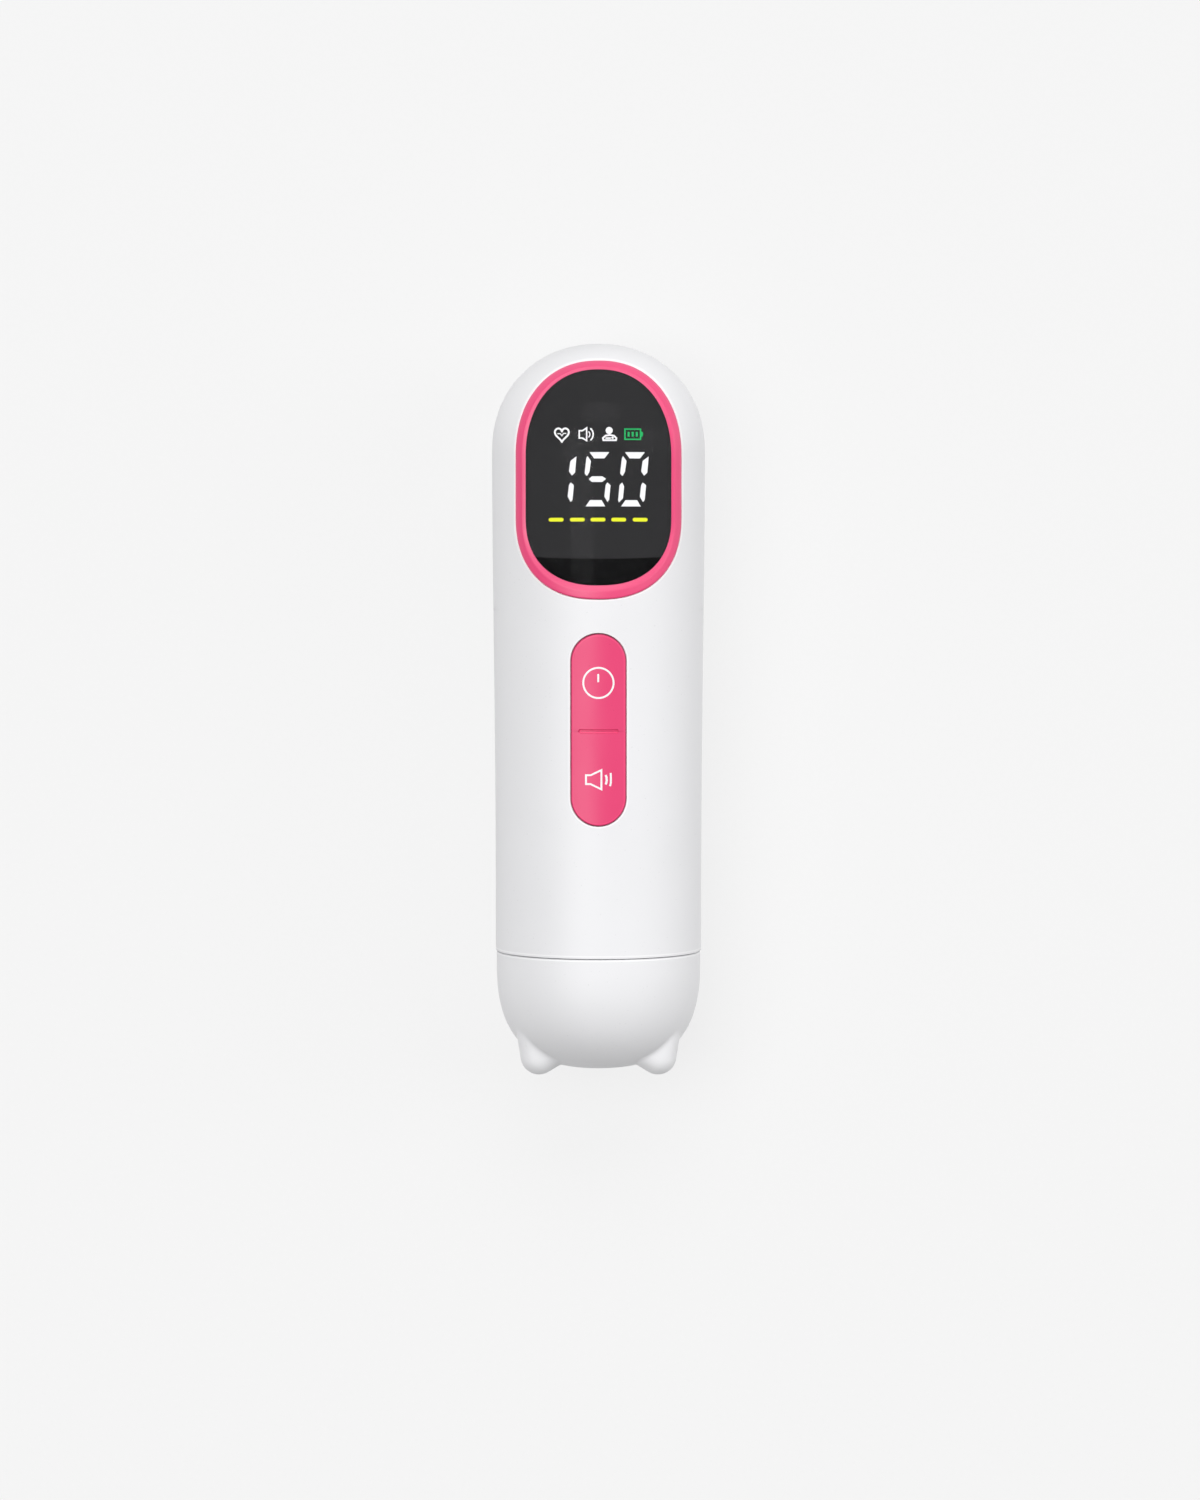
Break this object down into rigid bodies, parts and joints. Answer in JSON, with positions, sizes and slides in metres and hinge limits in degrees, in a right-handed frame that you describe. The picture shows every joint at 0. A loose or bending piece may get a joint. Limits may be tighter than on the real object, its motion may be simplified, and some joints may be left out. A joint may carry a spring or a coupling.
{
  "type": "fetal doppler",
  "caption": "Pocket fetal doppler: white capsule body with a dark curved display in a pink ring, a pink two-function key strip and a pull-off eared probe cap.",
  "frame": {"origin": "middle of the bounding box, on the surface that the doppler lies on", "axes": "+Y along the body towards the display end, +Z out of the display, X across the body"},
  "size_m": [0.046, 0.1584, 0.0448],
  "materials": {
    "white_shell": "satin",
    "pink_trim": "gloss",
    "window": "smoked clear",
    "black_plastic": "matte",
    "grey_plastic": "matte",
    "panel_glass": "gloss",
    "connector_nylon": "matte",
    "steel": "plated",
    "circuit_board": "solder mask",
    "gold_film": "evaporated film",
    "amber_film": "satin",
    "cell_sleeve": "shrink sleeve",
    "red_insulation": "satin",
    "black_rubber": "matte",
    "grey_rubber": "satin",
    "probe_silicone": "satin",
    "probe_plastic": "satin"
  },
  "bodies": {
    "wand": {"front_shell": "white_shell", "rear_shell": "white_shell", "display_bezel": "pink_trim", "display_lens": "window", "display_mask": "black_plastic", "display_panel": "panel_glass", "display_backlight": "white_shell", "display_ribbon": "amber_film", "key_retainer": "grey_plastic", "power_switch": "black_plastic", "volume_switch": "black_plastic", "main_board": "circuit_board", "processor_chip": "black_plastic", "amplifier_chip": "black_plastic", "shield_can": "steel", "battery_socket": "connector_nylon", "speaker_socket": "connector_nylon", "probe_socket": "connector_nylon", "shell_screw_1": "steel", "shell_screw_2": "steel", "shell_screw_3": "steel", "shell_screw_4": "steel", "board_screw_1": "steel", "board_screw_2": "steel", "board_screw_3": "steel", "board_screw_4": "steel", "retainer_screw_1": "steel", "retainer_screw_2": "steel", "port_screw_1": "steel", "port_screw_2": "steel", "port_board": "circuit_board", "usb_socket": "steel", "earphone_jack": "black_plastic", "port_ribbon": "amber_film", "battery_cell": "cell_sleeve", "battery_cradle": "grey_plastic", "battery_lead_red": "red_insulation", "battery_lead_black": "black_rubber", "speaker_frame": "steel", "speaker_magnet": "steel", "speaker_mesh": "black_plastic", "speaker_lead_red": "red_insulation", "speaker_lead_black": "black_rubber", "probe_housing": "probe_plastic", "probe_face": "probe_silicone", "transmit_crystal": "gold_film", "receive_crystal": "gold_film", "crystal_backing": "grey_rubber", "cap_grip_ring": "black_rubber", "transmit_lead": "grey_rubber", "receive_lead": "grey_rubber"},
    "cap": {"probe_cap": "white_shell"},
    "power_key": {"power_key": "pink_trim"},
    "volume_key": {"volume_key": "pink_trim"},
    "power_plunger": {"power_plunger": "grey_plastic"},
    "volume_plunger": {"volume_plunger": "grey_plastic"},
    "speaker_cone": {"speaker_cone": "black_plastic"}
  },
  "joints": [
    {"name": "cap_pull", "type": "slide", "parent": "wand", "child": "cap", "axis": [0, -1, 0], "range_m": [0, 0.045]},
    {"name": "power_key_press", "type": "hinge", "parent": "wand", "child": "power_key", "pos_m": [0, -0.00272, 0.04146], "axis": [-1, 0, 0], "range_deg": [0, 1.2], "stiffness_Nm_per_rad": 0.3},
    {"name": "volume_key_press", "type": "hinge", "parent": "wand", "child": "volume_key", "pos_m": [0, -0.00272, 0.04146], "axis": [1, 0, 0], "range_deg": [0, 1.2], "stiffness_Nm_per_rad": 0.3},
    {"name": "power_plunger_press", "type": "slide", "parent": "wand", "child": "power_plunger", "axis": [0, 0, -1], "range_m": [0, 0.0003]},
    {"name": "volume_plunger_press", "type": "slide", "parent": "wand", "child": "volume_plunger", "axis": [0, 0, -1], "range_m": [0, 0.0003]},
    {"name": "speaker_cone_travel", "type": "slide", "parent": "wand", "child": "speaker_cone", "axis": [0, 0, -1], "range_m": [-0.0003, 0.0003], "stiffness_N_per_m": 300}
  ],
  "couplings": [
    {"joint": "power_plunger_press", "follows": "power_key_press", "m_per_rad": 0.0125},
    {"joint": "volume_plunger_press", "follows": "volume_key_press", "m_per_rad": 0.0125}
  ]
}
